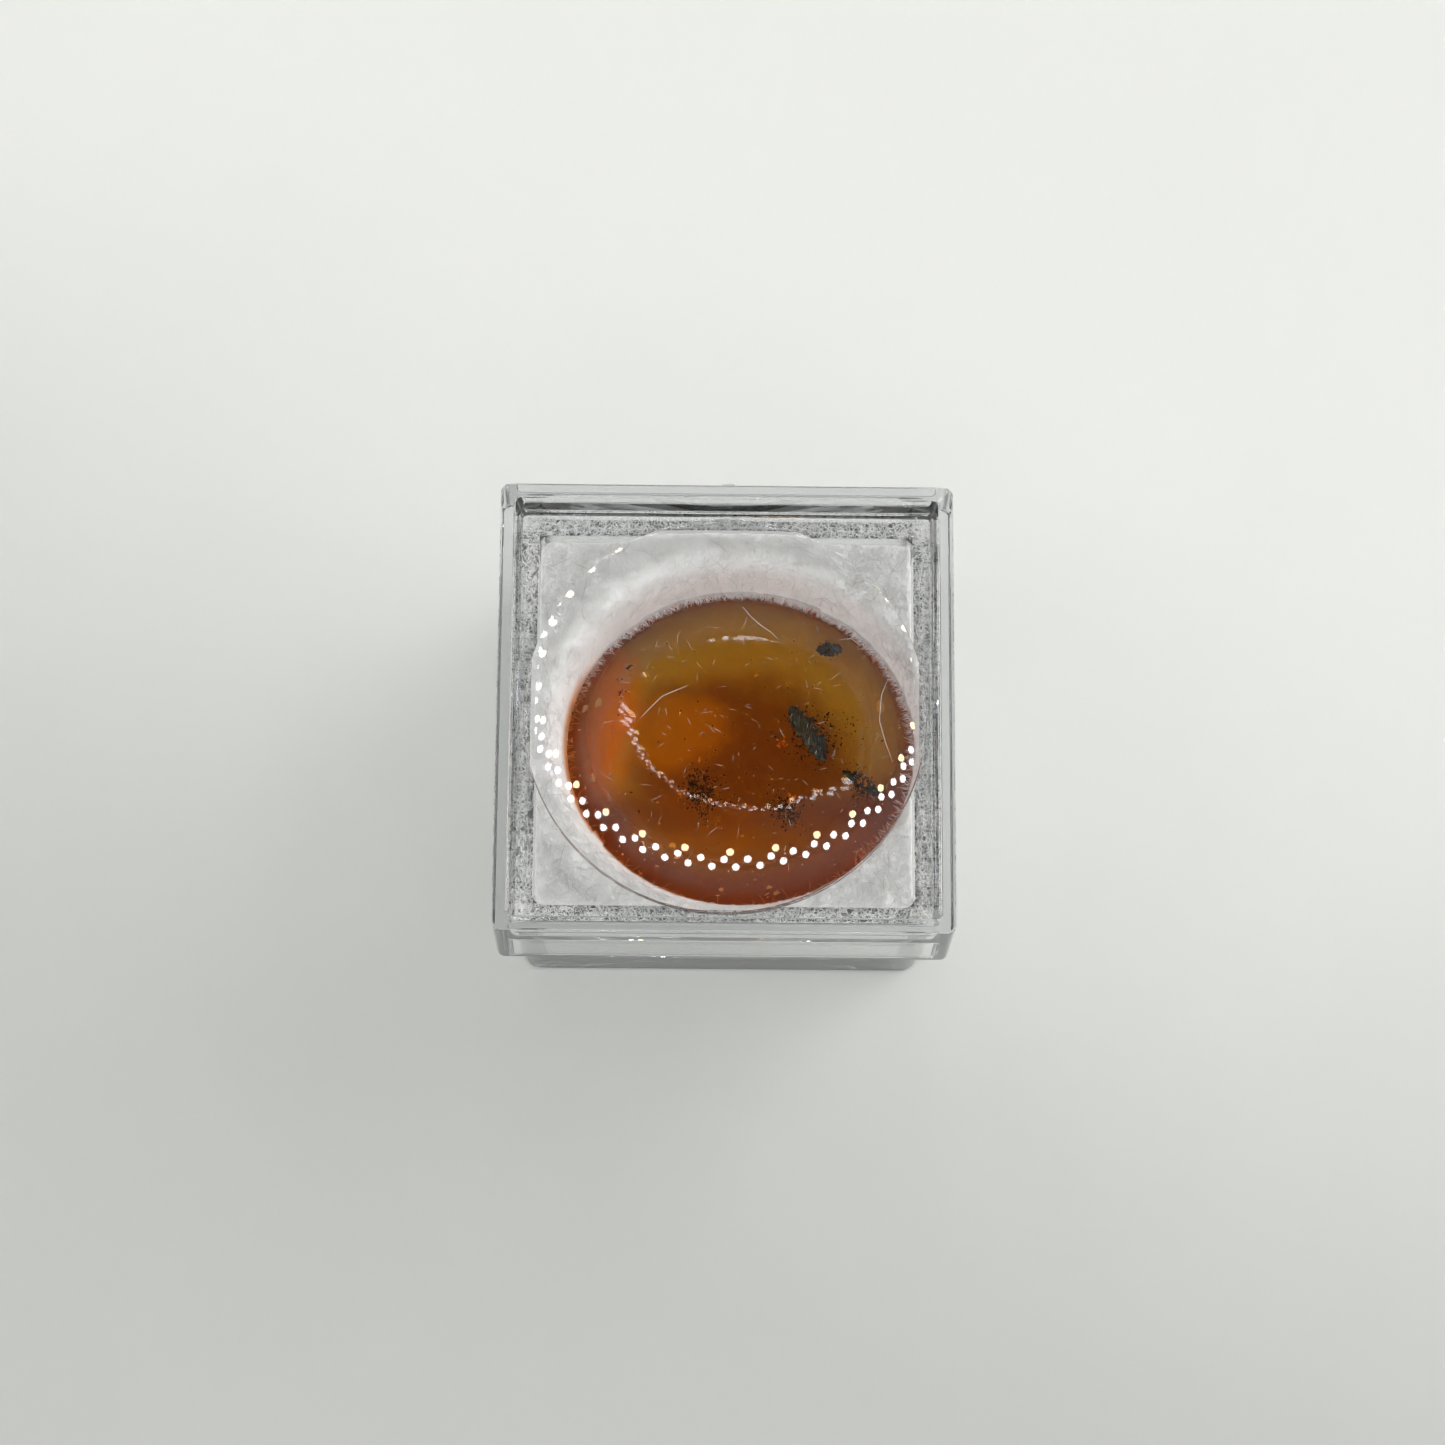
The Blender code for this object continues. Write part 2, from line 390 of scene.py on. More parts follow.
# %% [markdown]
# The lid is a square cap. Inside its rim lies a sunk plate, and the lens stands on the plate with a short
# upright edge, low enough for the rim to guard it. The section runs from the top of the dome outward, up
# and over the rim, down the skirt, and back under the plate to the middle.

# %% The lid and its lens
LID_WALL = 1.0 * MM
LID_CORNER = 0.6 * MM
LID_INNER_CORNER = 0.3 * MM
LID_TAPER = 0.2 * MM
RIM_HEIGHT = 3.3 * MM
RIM_DRAFT = 0.35 * MM
PLATE = 1.1 * MM
LENS_RADIUS = 13.8 * MM
LENS_EDGE = 0.9 * MM
LENS_DOME = 2.2 * MM
DOME_RINGS = 28
PLASTIC_EDGE = 0.12 * MM
LENS_SHARPNESS = 0.08 * MM

mouth_half = lid_high.x
top_half = mouth_half - LID_TAPER
plate_top = lid_high.z - RIM_HEIGHT
lens_shoulder = plate_top + LENS_EDGE
sphere = (LENS_RADIUS**2 + LENS_DOME**2) / (2 * LENS_DOME)
reach = math.asin(LENS_RADIUS / sphere)


def dome_point(share):
    """A ring of the dome, as a share of the way from its top to its edge."""
    angle = reach * share
    out = sphere * math.sin(angle)
    return (out, out, lens_shoulder + sphere * (math.cos(angle) - math.cos(reach)))


dome = [dome_point((i + 1) / DOME_RINGS) for i in range(DOME_RINGS)]
taper_at_plate = LID_TAPER * (lid_high.z - plate_top) / (lid_high.z - lid_low.z)
rest_of_lid = [
    (LENS_RADIUS, LENS_RADIUS, plate_top),
    (top_half - LID_WALL - RIM_DRAFT, LID_INNER_CORNER, plate_top),
    (top_half - LID_WALL, LID_INNER_CORNER, lid_high.z),
    (top_half, LID_CORNER, lid_high.z),
    (mouth_half, LID_CORNER, lid_low.z),
    (mouth_half - LID_WALL, LID_INNER_CORNER, lid_low.z),
    (top_half + taper_at_plate - LID_WALL, LID_INNER_CORNER, plate_top - PLATE),
    (MIDDLE_RING, MIDDLE_RING, plate_top - PLATE),
]
lens_edge = softened([dome[-2], dome[-1]] + rest_of_lid[:2], LENS_SHARPNESS)[1:-1]
section = dome[:-1] + lens_edge + softened([lens_edge[-1]] + rest_of_lid[1:], PLASTIC_EDGE)[1:]
lid = new_piece("lid_and_lens", lofted(section), PLASTIC, sharp=9)
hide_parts("lid")

# %% [markdown]
# Plastic enters a mould at one small spot and leaves a frosted mark there when it is broken off. It is a
# real piece on the outside of the back wall and not a bump, because clear walls show it from all sides.

# %% The mark where the lid's mould was filled
def frosted():
    """The same clear plastic with a grainy surface."""
    material, wires = new_finish("frosted_mark", {
        "Base Color": (1.0, 1.0, 1.0, 1.0), "Transmission Weight": 1.0, "IOR": 1.59})
    grain = cloud(wires, where(wires), 0.12)
    feed(material, Roughness=0.25 + 0.3 * grain, Normal=bump(wires, grain, 0.02 * MM))
    return material


MARK_RADIUS = 0.45 * MM
MARK_DEPTH = 0.14 * MM
MARK_STEPS = 32
MARK_BELOW_RIM = 0.15 * MM
MARK_CLEARANCE = 0.03 * MM

mark_place = Vector((
    0.1 * MM,
    top_half + MARK_DEPTH / 2 + MARK_CLEARANCE,
    lid_high.z - MARK_RADIUS - MARK_BELOW_RIM,
))
facing_back = Matrix.Translation(mark_place) @ Matrix.Rotation(math.pi / 2, 4, "X")
shape = bmesh.new()
bmesh.ops.create_cone(shape, cap_ends=True, segments=MARK_STEPS, radius1=MARK_RADIUS,
                      radius2=0.9 * MARK_RADIUS, depth=MARK_DEPTH, matrix=facing_back)
new_piece("mould_mark", shape, frosted(), sharp=30)

# %% [markdown]
# The tray is the narrower lower half. Its walls lean in a little towards the top so that the lid slides on,
# and its upright corners are rounder than the lid's.

# %% The tray
TRAY_WALL = 1.15 * MM
TRAY_TAPER = 0.2 * MM
TRAY_FLOOR = 1.2 * MM
TRAY_CORNER = 1.2 * MM
TRAY_INNER_CORNER = TRAY_CORNER - 0.4 * MM

tray_foot = tray_high.x
tray_top = tray_foot - TRAY_TAPER
section = [
    (MIDDLE_RING, MIDDLE_RING, tray_low.z),
    (tray_foot, TRAY_CORNER, tray_low.z),
    (tray_top, TRAY_CORNER, tray_high.z),
    (tray_top - TRAY_WALL, TRAY_INNER_CORNER, tray_high.z),
    (tray_top - TRAY_WALL, TRAY_INNER_CORNER, TRAY_FLOOR),
    (MIDDLE_RING, MIDDLE_RING, TRAY_FLOOR),
]
tray_skin = lofted(softened(section, PLASTIC_EDGE))
tray = new_piece("box_tray", tray_skin, PLASTIC, sharp=9)
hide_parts("tray")

# %% [markdown]
# Amber is fossil resin: warm, clear, denser in colour the longer the light's way through it. Plain
# absorption does that by itself. The dome's polish is not perfect, so faint waves and fine scratches break
# up what it reflects. The back is unpolished and scatters light, which keeps the edge from going dark, and
# it carries soft patches of tint: olive, darker in the middle and front, brown along the front, and a
# painted glow, yellow left of the middle and orange at the left edge, where the stone focuses light.

# %% Amber
OLIVE = (0.66, 0.78, 0.70, 1.0)
# Painted glow: light that the stone focuses, yellow, left of its middle.
GLOW = (0.52, 0.44, 0.12, 1.0)
DARK = (0.25, 0.19, 0.22, 1.0)
# Painted glow at the left edge, where the stone focuses light from the back right.
PAINTED_RIM_GLOW = (1.0, 0.58, 0.10, 1.0)
BROWN = (0.44, 0.38, 0.20, 1.0)
CLEAR = (1.0, 1.0, 1.0, 1.0)


def patch(across, along, ragged, centre, radii):
    """A mask that is 1 inside an oval, in millimetres, whose edge a wire of noise makes uneven."""
    x = (across - centre[0]) / radii[0]
    y = (along - centre[1]) / radii[1]
    return 1 - (x * x + y * y + ragged).step(0.4, 1.5)


def amber():
    """Clear resin: polished above its widest line, rough below it, with soft tints and a painted glow there.
    """
    material, wires = new_finish("amber_resin", {"Transmission Weight": 1.0, "IOR": 1.54})
    place = where(wires)
    x, y, z = split(wires, place)
    across = x - STONE_X / MM
    along = y - STONE_Y / MM
    widest = GIRDLE / MM
    ragged = 1.2 * (cloud(wires, place, 2.5) - 0.5)
    # Each oval has its middle, from the stone's middle, and then its radii across and along.
    middle = patch(across, along, ragged, (-0.4, -0.8), (6.4, 5.2))
    lower = 1 - (along + 0.8 * ragged).step(-3.2, -0.6)
    # Painted glow: a yellow patch left of the middle and an orange one at the left edge, where the stone
    # focuses light.
    painted_glow = patch(across, along, 1.5 * ragged, (-3.6, 0.8), (2.9, 2.0))
    rim_glow = patch(across, along, ragged, (-9.8, 2.0), (3.8, 5.8))
    front = 1 - (along + 0.6 * ragged).step(-5.2, -3.4)
    body = middle.math("MAXIMUM", middle, lower).mix(OLIVE, DARK)
    body = front.mix(rim_glow.mix(painted_glow.mix(body, GLOW), PAINTED_RIM_GLOW), BROWN)
    back = 1 - z.step(widest - 0.4, widest - 0.1)
    polish = cloud(wires, stretched(wires, place, (0.5, 5.0, 1.0), 24), 1.0, 3.0)
    pits = cloud(wires, place, 0.25, 2.0)
    rough = 0.008 + 0.03 * polish.step(0.58, 0.78) + 0.55 * back
    feed(material, Base_Color=back.mix(CLEAR, body), Roughness=rough)
    feed(material, Normal=bump(wires, polish + 0.4 * pits, 0.0015 * MM))
    absorb(material, (0.955, 0.74, 0.02), 430.0)
    return material


AMBER = amber()
print("finish:", AMBER.name)

# %% [markdown]
# A cabochon is an oval pebble with a high dome, a flatter back and a thin edge. A ball is squeezed into that
# shape: its height follows a power of the ball's, and the dome's top is moved off the middle, where the
# polishing left it. The one clear piece takes the place of both halves of the solid.

# %% The stone
DOME_BEND = 0.95
UNDERSIDE_BEND = 0.70
APEX = Vector((-1.5 * MM, -2.4 * MM))
DIMPLE = Vector((-2.2 * MM, 3.6 * MM))
DIMPLE_WIDTH = 1.1 * MM
DIMPLE_DEPTH = 0.09 * MM
STONE_STEPS = 200
STONE_RINGS = 100
WAVE = 0.025 * MM


def stone_point(unit):
    """A point of the unit ball moved to the stone. A bend of 1 gives a thin edge, 0.5 a blunt one."""
    above = unit.z > 0
    rise, bend = (STONE_DOME, DOME_BEND) if above else (STONE_UNDERSIDE, UNDERSIDE_BEND)
    up = abs(unit.z) ** (2 * bend)
    shift = APEX * (1 - math.hypot(unit.x, unit.y)) if above else Vector((0, 0))
    return Vector((
        STONE_X + unit.x * (STONE_RADIUS_X - WAVE) + shift.x,
        STONE_Y + unit.y * (STONE_RADIUS_Y - WAVE) + shift.y,
        GIRDLE + math.copysign(up * (rise - WAVE), unit.z),
    ))


def stone_shape():
    """The stone's closed skin, with faint waves and one small dimple on its dome."""
    shape = bmesh.new()
    bmesh.ops.create_uvsphere(shape, u_segments=STONE_STEPS, v_segments=STONE_RINGS, radius=1.0)
    for vert in shape.verts:
        above = vert.co.z > 0
        place = stone_point(vert.co)
        wave = noise.noise(place / (5 * MM)) * WAVE
        vert.co = place + (place - Vector((STONE_X, STONE_Y, GIRDLE))).normalized() * wave
        if above:
            away = (vert.co.xy - Vector((STONE_X, STONE_Y)) - DIMPLE).length / DIMPLE_WIDTH
            vert.co.z -= DIMPLE_DEPTH * math.exp(-away * away)
    return shape


stone = new_piece("amber_stone", stone_shape(), AMBER)
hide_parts("amber_upper", "amber_lower")

# %% [markdown]
# What is sealed in the resin is small and dark: a curled streak of leaf, its tail nearer the edge, a scrap
# at the upper right, and brown crumbs. All of it is dry plant matter, so one matt finish with a fibrous
# grain serves it in different colours. The orange flashes are splits in the resin that catch the light:
# their glint is painted, as bright orange on matt grains with the same finish.

# %% Plant matter
def plant(name, dark, pale):
    """Matt dry matter with a fibrous grain between a dark and a pale colour."""
    material, wires = new_finish(name, {"Roughness": 0.75})
    veins = cloud(wires, stretched(wires, where(wires), (6.0, 1.0, 1.0), 32), 0.4, 3.0)
    feed(material, Base_Color=veins.step(0.35, 0.7).mix(dark, pale), Normal=bump(wires, veins, 0.03 * MM))
    return material


LEAF = plant("leaf_matter", (0.02, 0.03, 0.05, 1.0), (0.12, 0.17, 0.26, 1.0))
CRUMB = plant("brown_crumbs", (0.03, 0.022, 0.015, 1.0), (0.12, 0.08, 0.04, 1.0))
# Painted glint: the flash of light from splits in the resin, as bright orange on a matt finish.
PAINTED_GLINT = plant("orange_painted_glint", (0.75, 0.22, 0.02, 1.0), (1.0, 0.55, 0.10, 1.0))
print("finishes:", LEAF.name, CRUMB.name, PAINTED_GLINT.name)

# %% [markdown]
# The solids hold plain lens-shaped flakes in the place of the leaves. A flat picture of a leaf would look
# like a sticker through the lens, so each leaf is a thin closed skin. Noise tears its outline, and it curls
# across and waves along its length.

# %% Leaves
LEAF_STEPS = 36
LEAF_ROWS = 8
LEAF_THICKNESS = 0.05 * MM
LEAF_WELD = 1e-6
FULLNESS = 0.85
RAGGED = 0.6


def sealed(across, along, up=0.0):
    """A place in the stone, in millimetres from its middle."""
    return Vector((STONE_X + across * MM, STONE_Y + along * MM, GIRDLE + up * MM))


def leaf(name, middle, half_length, half_width, curl, turn):
    """A thin ragged scrap, thickest in the middle and curled across, as a closed skin."""
    shape = bmesh.new()
    spin = Matrix.Rotation(math.radians(turn), 3, "Z")
    for side in (1, -1):
        rows = []
        for i in range(LEAF_STEPS + 1):
            along = 2 * i / LEAF_STEPS - 1
            row = []
            for j in range(LEAF_ROWS + 1):
                over = 2 * j / LEAF_ROWS - 1
                uneven = noise.noise(Vector((7 * along, math.copysign(3, over), middle.x / MM)))
                wide = half_width * (1 - along * along) ** 0.6 * (FULLNESS + RAGGED * uneven) * over
                bend = curl * (over * over + 0.5 * math.sin(4 * along)) * half_width
                skin = side * LEAF_THICKNESS / 2 * (1 - over * over)
                place = Vector((along * half_length, wide, bend + skin))
                row.append(shape.verts.new(middle + spin @ place))
            rows.append(row)
        for row, after in zip(rows, rows[1:]):
            for k in range(LEAF_ROWS):
                shape.faces.new((row[k], row[k + 1], after[k + 1], after[k]))
    bmesh.ops.remove_doubles(shape, verts=shape.verts, dist=LEAF_WELD)
    bmesh.ops.recalc_face_normals(shape, faces=shape.faces)
    return new_piece(name, shape, LEAF)


streak = leaf("leaf_streak", sealed(4.2, 0.3, 2.3), 2.1 * MM, 0.85 * MM, curl=0.25, turn=-56.0)
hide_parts("leaf_flake")
scrap = leaf("leaf_bit", sealed(5.5, 6.2, 0.5), 0.9 * MM, 0.55 * MM, curl=0.2, turn=10.0)
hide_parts("leaf_scrap")
leaf("leaf_tail", sealed(7.5, -2.4, 0.7), 1.5 * MM, 0.5 * MM, curl=0.3, turn=-28.0)

# %% [markdown]
# Crumbs that settle in sticky resin cling to each other. An even spray looks like pepper, so a new grain
# lands near one of the last few, which makes ragged clumps. Grains that would fall outside the resin are
# left out. A cloud is written as its middle across and along the stone, its spread, all in millimetres, and
# the number of its grains.

# %% Crumbs and painted glints
CRUMB_CLOUDS = (
    (-2.4, -3.1, 2.2, 420),
    (2.6, -4.1, 1.8, 300),
    (7.6, -2.6, 1.6, 300),
    (4.4, 0.2, 3.4, 520),
    (5.5, 6.2, 1.0, 120),
    (-7.3, 5.0, 0.7, 30),
    (-8.0, 4.2, 0.6, 24),
    (-7.6, 3.2, 0.5, 16),
    (0.0, -1.0, 16.0, 160),
)
# Clouds of painted glint: matt grains painted bright orange where splits in the resin flash.
PAINTED_GLINT_CLOUDS = (
    (2.6, -0.3, 0.9, 9),
    (2.9, -3.6, 0.8, 12),
    (7.9, -2.6, 1.0, 16),
    (-3.6, -3.5, 0.5, 4),
)
SEALED_SHARE = 0.82
CLUMP_REACH = 12
CLUMPING = 0.8
CLUMP_PULL = 0.75


def scattered(clouds, low, high, height):
    """Grains that grow in clumps round the middle of each cloud, as (place, size) pairs."""
    grains = []
    for across, along, spread, count in clouds:
        clump = [(across, along)]
        for _ in range(count):
            near = dice.choice(clump[-CLUMP_REACH:] if dice.random() < CLUMPING else clump[:1])
            pull = CLUMP_PULL if dice.random() < CLUMPING else 1.0
            x = across + (near[0] - across) * pull + dice.gauss(0, spread / 5)
            y = along + (near[1] - along) * pull + dice.gauss(0, spread / 5)
            if math.hypot(x * MM / STONE_RADIUS_X, y * MM / STONE_RADIUS_Y) > SEALED_SHARE:
                continue
            clump.append((x, y))
            grains.append((sealed(x, y, height + dice.gauss(0, 0.2)), dice.uniform(low, high) * MM))
    return grains


grain_mesh("brown_crumb_clouds", scattered(CRUMB_CLOUDS, 0.06, 0.22, 1.0), CRUMB)
grain_mesh("orange_painted_glints", scattered(PAINTED_GLINT_CLOUDS, 0.15, 0.40, 1.3), PAINTED_GLINT)

# %% [markdown]
# The pad is covered in flock: short white fibres with no shine and a faint soft sheen. Light that has gone
# through the stone warms the fibres beside it. Plain light paths carry too little of that colour, so the
# finish tints a thin ring of flock at the stone's left and front edge.

# %% Flock
AMBER_LIGHT = (0.70, 0.30, 0.07, 1.0)


def flock():
    """White fibres, and the ring of warm light beside the stone."""
    material, wires = new_finish("flock", {"Roughness": 1.0, "Sheen Weight": 0.25})
    place = where(wires)
    lumps = cloud(wires, place, 0.8)
    fibres = cloud(wires, stretched(wires, place, (6.0, 0.8, 2.0), 40), 0.5, 3.0)
    shade = 0.55 * lumps + 0.45 * fibres
    colour = shade.step(0.3, 0.7).mix((0.86, 0.86, 0.85, 1.0), (0.96, 0.96, 0.95, 1.0))
    x, y = split(wires, place)[:2]
    across = (x - STONE_X / MM) / (STONE_RADIUS_X / MM)
    along = (y - STONE_Y / MM) / (STONE_RADIUS_Y / MM)
    out = (across * across + along * along) ** 0.5
    edge = out.step(0.86, 0.97) * (1 - out.step(1.01, 1.05))
    side = 1 - (0.5 * across + 0.8 * along).step(-0.35, 0.15)
    colour = (edge * side).mix(colour, AMBER_LIGHT)
    feed(material, Base_Color=colour, Normal=bump(wires, lumps + fibres, 0.06 * MM))
    return material


FLOCK = flock()
print("finish:", FLOCK.name)

# %% [markdown]
# The pad is a soft block, pressed down where the stone lies in it. A height for every place on its top gives
# the dent's slope and the nest below the stone. A fine grid carries that height, walls are drawn down from
# the grid's edge, and small lumps make the skin uneven before any fibre is added.

# %% The height of the pad's top
PAD_HALF = 13.0 * MM
FIT = 0.05 * MM
DENT_SLOPE = 2.2 * MM
PAD_CORNER = 0.8 * MM
PAD_EDGE = 0.25 * MM
LUMP = 0.10 * MM
SKIN = 0.06 * MM

pad_half = PAD_HALF - SKIN
pad_top = pad_high.z - LUMP


def pad_height(x, y):
    """Height of the pad's top at a place, without its small lumps."""
    ahead = Vector((x - STONE_X, (y - STONE_Y) * STONE_RADIUS_X / STONE_RADIUS_Y))
    out = ahead.length / STONE_RADIUS_X
    if out < 1.0:
        return GIRDLE - FIT - STONE_UNDERSIDE * (1 - out * out) ** UNDERSIDE_BEND
    share = min((out - 1.0) * STONE_RADIUS_X / DENT_SLOPE, 1.0)
    height = GIRDLE + (pad_top - GIRDLE) * math.sin(math.pi / 2 * share)
    inset = pad_half - max(abs(x), abs(y))
    if inset < PAD_EDGE:
        height -= PAD_EDGE - math.sqrt(max(PAD_EDGE**2 - (PAD_EDGE - inset) ** 2, 0.0))
    return height


def lump(place):
    """The small unevenness of the flock, from -1 to 1."""
    coarse = noise.noise(place / (1.1 * MM))
    fine = noise.noise(place / (0.35 * MM))
    return max(-1.0, min(1.0, 0.7 * coarse + 0.8 * fine))


print("pad top", round(pad_height(pad_half - 1 * MM, pad_half - 1 * MM) / MM, 2), "mm")

# %% The pad
PAD_CELLS = 140
PAD_SIDE_ROWS = 44


def into_round_corner(x, y):
    """Moves a place of the square grid in from the pad's rounded corners."""
    flat = pad_half - PAD_CORNER
    beyond = Vector((max(abs(x) - flat, 0.0), max(abs(y) - flat, 0.0)))
    if min(beyond) <= 0:
        return x, y
    beyond *= max(beyond) / beyond.length
    return math.copysign(flat + beyond.x, x), math.copysign(flat + beyond.y, y)


def pad_shape():
    """The pad's closed skin: a grid on top, walls in rows, a flat bottom, and lumps all over."""
    shape = bmesh.new()
    bmesh.ops.create_grid(shape, x_segments=PAD_CELLS, y_segments=PAD_CELLS, size=pad_half)
    for vert in shape.verts:
        x, y = into_round_corner(vert.co.x, vert.co.y)
        vert.co = x, y, pad_height(x, y)
    top = pad_top - PAD_EDGE
    low = pad_low.z + SKIN
    rim = [edge for edge in shape.edges if edge.is_boundary]
    for row in range(PAD_SIDE_ROWS):
        made = bmesh.ops.extrude_edge_only(shape, edges=rim)["geom"]
        rim = [item for item in made if isinstance(item, bmesh.types.BMEdge)]
        rim = [edge for edge in rim if edge.is_boundary]
        share = (row + 1) / PAD_SIDE_ROWS
        for vert in {v for edge in rim for v in edge.verts}:
            vert.co.z = top + (low - top) * share
    bmesh.ops.contextual_create(shape, geom=rim)
    bmesh.ops.recalc_face_normals(shape, faces=shape.faces)
    shape.normal_update()
    uneven = {}
    for vert in shape.verts:
        normal = vert.normal.copy()
        depth = LUMP if normal.z > 0.5 else SKIN
        uneven[vert] = vert.co + normal * depth * (lump(vert.co) if normal.z > -0.5 else 0.0)
    for vert, place in uneven.items():
        vert.co = place
    return shape


pad = new_piece("flock_pad", pad_shape(), FLOCK)
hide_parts("pad")

# %% [markdown]
# A bump alone leaves the flock's outline smooth, so real fibres stand up from it. Each is a short curved
# line that rises from the skin and comes down again. The corners, which the stone doesn't press, are
# shaggier. No fibre leaves the pad's outline, so none goes through the tray.

# %% Fibres
FIBRE_WIDTH = 0.028 * MM
FIBRE_STEPS = 4
FIBRE_CURL = 0.7
FIBRE_INSET = 0.1 * MM
FIBRE_ROOT = 0.02 * MM
STONE_ROOM = 1.03
CORNER_OUT = 12.0 * MM


def curled(start, heading, length, lift):
    """A line of points that bends as it goes, first up from the skin and then down again."""
    line = []
    here = start.copy()
    angle = math.atan2(heading.y, heading.x)
    bend = dice.uniform(-FIBRE_CURL, FIBRE_CURL)
    for i in range(FIBRE_STEPS):
        rise = lift * math.sin(math.pi * i / (FIBRE_STEPS - 1))
        line.append(Vector((here.x, here.y, here.z + rise)))
        here += Vector((math.cos(angle), math.sin(angle), 0)) * length / (FIBRE_STEPS - 1)
        angle += bend
    return line


def pad_fibres(count, long, lift, corners_only=False):
    """Lines for fibres that lie on the pad's top, clear of the stone."""
    lines = []
    room = pad_half - FIBRE_INSET
    while len(lines) < count:
        start = Vector((dice.uniform(-room, room), dice.uniform(-room, room), 0))
        out = math.hypot((start.x - STONE_X) / STONE_RADIUS_X, (start.y - STONE_Y) / STONE_RADIUS_Y)
        if out < STONE_ROOM or (corners_only and start.length < CORNER_OUT):
            continue
        heading = Vector((dice.gauss(0, 1), dice.gauss(0, 1)))
        rise = dice.uniform(0.1, 1.0) * lift
        line = curled(start, heading, dice.uniform(0.3, 1.0) * long, rise)
        for point in line:
            point.x = max(-room, min(room, point.x))
            point.y = max(-room, min(room, point.y))
            point.z += pad_height(point.x, point.y) + FIBRE_ROOT
        lines.append(line)
    return lines


lines = pad_fibres(3400, 1.6 * MM, 0.22 * MM)
strand_mesh("flock_fuzz", lines, FIBRE_WIDTH, FLOCK)
lines = pad_fibres(5200, 1.2 * MM, 0.45 * MM, corners_only=True)
strand_mesh("corner_fuzz", lines, FIBRE_WIDTH, FLOCK)

# %% [markdown]
# The stone's weight pushes flock up around its edge, and most of those fibres lean over it at the back. The
# closed lid catches other fibres between its plate and the tray's rim, where they lie flat and show as a
# grey, hairy band all round. Both are the same tubes as before, laid where the real ones lie.

# %% Fuzz around the stone and on the tray's rim
EDGE_MIDDLE = math.radians(70)
EDGE_SPREAD = math.radians(50)
EDGE_RISE = 0.15 * MM
EDGE_SLOPE = 0.9
EDGE_ARCH = 0.1 * MM
EDGE_WIDTH = 0.022 * MM
SEAT_HEIGHT = tray_high.z + 0.08 * MM
SEAT_INNER = 13.0
SEAT_OUTER = 14.35
SEAT_END = 14.3
SEAT_ARCH = 0.1 * MM
SEAT_WIDTH = 0.04 * MM


def edge_fibres(count):
    """Short lines that lean from the pad over the stone's edge."""
    lines = []
    for _ in range(count):
        angle = dice.gauss(EDGE_MIDDLE, EDGE_SPREAD)
        away = Vector((math.cos(angle), math.sin(angle), 0))
        start, reach = dice.uniform(0.0, 0.3), dice.uniform(0.2, 0.7)
        sway = dice.uniform(-0.5, 0.5)
        line = []
        for i in range(FIBRE_STEPS):
            share = i / (FIBRE_STEPS - 1)
            out = (start - reach * share) * MM
            spin = sway * share * MM / STONE_RADIUS_X
            at = Matrix.Rotation(spin, 3, "Z") @ away
            x = STONE_X + at.x * (STONE_RADIUS_X + out)
            y = STONE_Y + at.y * (STONE_RADIUS_Y + out)
            rise = EDGE_RISE + EDGE_SLOPE * max(-out, 0.0) + EDGE_ARCH * math.sin(math.pi * share)
            line.append(Vector((x, y, GIRDLE + rise)))
        lines.append(line)
    return lines


def seat_fibres(count):
    """Lines that lie flat in the narrow gap between the tray's rim and the lid's plate."""
    lines = []
    for _ in range(count):
        side = Matrix.Rotation(math.pi / 2 * dice.randrange(4), 3, "Z")
        start = Vector((dice.uniform(-14.2, 14.2) * MM, dice.uniform(13.1, 14.3) * MM, SEAT_HEIGHT))
        heading = Vector((dice.gauss(0, 1), dice.gauss(0, 1)))
        line = curled(start, heading, dice.uniform(0.3, 0.9) * MM, SEAT_ARCH)
        for point in line:
            point.x = max(-SEAT_END * MM, min(SEAT_END * MM, point.x))
            point.y = max(SEAT_INNER * MM, min(SEAT_OUTER * MM, point.y))
        lines.append([side @ point for point in line])
    return lines


strand_mesh("edge_fuzz", edge_fibres(2200), EDGE_WIDTH, FLOCK)
strand_mesh("seat_fuzz", seat_fibres(8500), SEAT_WIDTH, FLOCK)

# %% [markdown]
# Dust gets into every box: a little dark lint lies in the corners of the pad. It is the same kind of strand
# as the flock, longer, thinner and in a grey of its own.

# %% Lint in the corners
LINT_WIDTH = 0.018 * MM


def lint():
    """Grey fibres, some darker than others."""
    material, wires = new_finish("grey_lint", {"Roughness": 0.8})
    tone = cloud(wires, where(wires), 2.0)
    feed(material, Base_Color=tone.mix((0.10, 0.10, 0.10, 1.0), (0.38, 0.37, 0.36, 1.0)))
    return material


lines = pad_fibres(90, 3.0 * MM, 0.5 * MM, corners_only=True)
strand_mesh("dark_lint", lines, LINT_WIDTH, lint())

# %% [markdown]
# A few pale hairs cling to the stone's dome, with motes and specks of flock all over it. They are laid on
# the surface, so the height of the dome is needed at any place. Its top lies off the middle, so that height
# comes from a search: each round puts the place nearer its own ring of the ball that the dome is made from.

# %% Hairs, motes and specks on the stone
HAIR_WIDTH = 0.045 * MM
MOTE_WIDTH = 0.02 * MM
HAIR_LIFT = 0.05
SPECK_LIFT = 0.04
MOTES = 130
SPECKS = 160
SEARCH_ROUNDS = 12
HAIRS = (
    ((0.0, 9.1), (0.5, 8.4), (1.2, 7.7), (1.9, 7.2), (2.4, 6.6)),
    ((6.2, 7.0), (7.0, 7.2), (7.5, 6.8), (7.4, 6.2)),
    ((9.5, 5.0), (9.0, 3.4), (8.9, 1.6), (9.3, 0.2), (9.9, -1.4)),
    ((-6.6, 1.2), (-5.2, 2.6), (-3.0, 3.5)),
)


